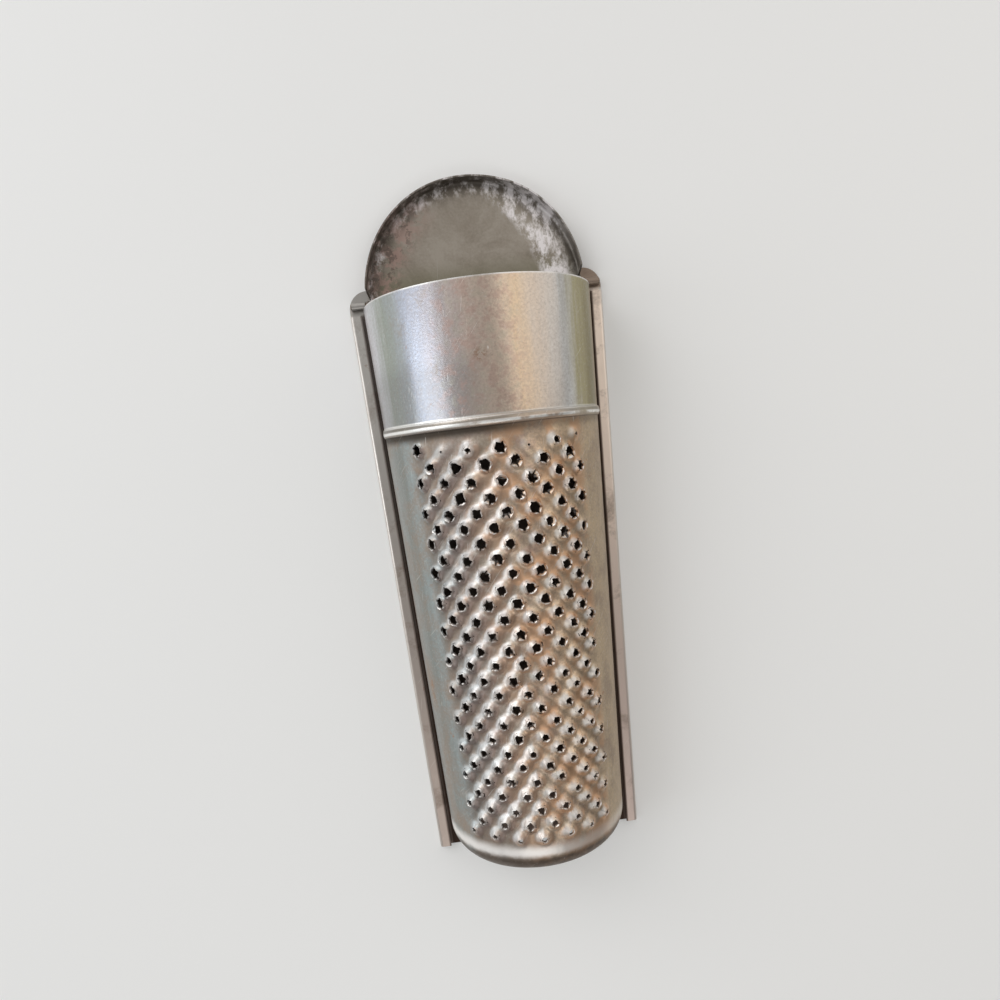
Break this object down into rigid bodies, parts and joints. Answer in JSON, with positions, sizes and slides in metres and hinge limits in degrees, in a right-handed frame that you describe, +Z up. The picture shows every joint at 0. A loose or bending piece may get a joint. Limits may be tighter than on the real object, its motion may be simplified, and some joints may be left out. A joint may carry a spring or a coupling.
{
  "type": "nutmeg grater",
  "caption": "Half-round tinplate nutmeg grater with a punched grating face, a nutmeg compartment at one end and a hinged lid.",
  "frame": {"origin": "underside of the back plate, on the centreline, where the folded seams end at the mouth", "axes": "+X across the grater, +Y along it from the toe to the lid, +Z up out of the back plate towards the grating face"},
  "size_m": [0.06, 0.1607, 0.0287],
  "materials": {
    "back_tin": "dull worn tinplate with brown tarnish",
    "front_tin": "worn tinplate, shiny over the compartment and dull between the teeth",
    "floor_tin": "dull tinplate",
    "lid_tin": "dark tarnished tinplate with bright worn patches and light rust",
    "hinge_wire": "browned steel wire"
  },
  "bodies": {
    "grater_body": {"back_plate": "back_tin", "grater_front": "front_tin", "compartment_floor": "floor_tin", "hinge_pin": "hinge_wire"},
    "lid": {"lid": "lid_tin"}
  },
  "joints": [
    {"name": "lid_hinge", "type": "hinge", "parent": "grater_body", "child": "lid", "pos_m": [0, 0.00225, 0.00145], "axis": [1, 0, 0], "range_deg": [0, 90.9]}
  ]
}
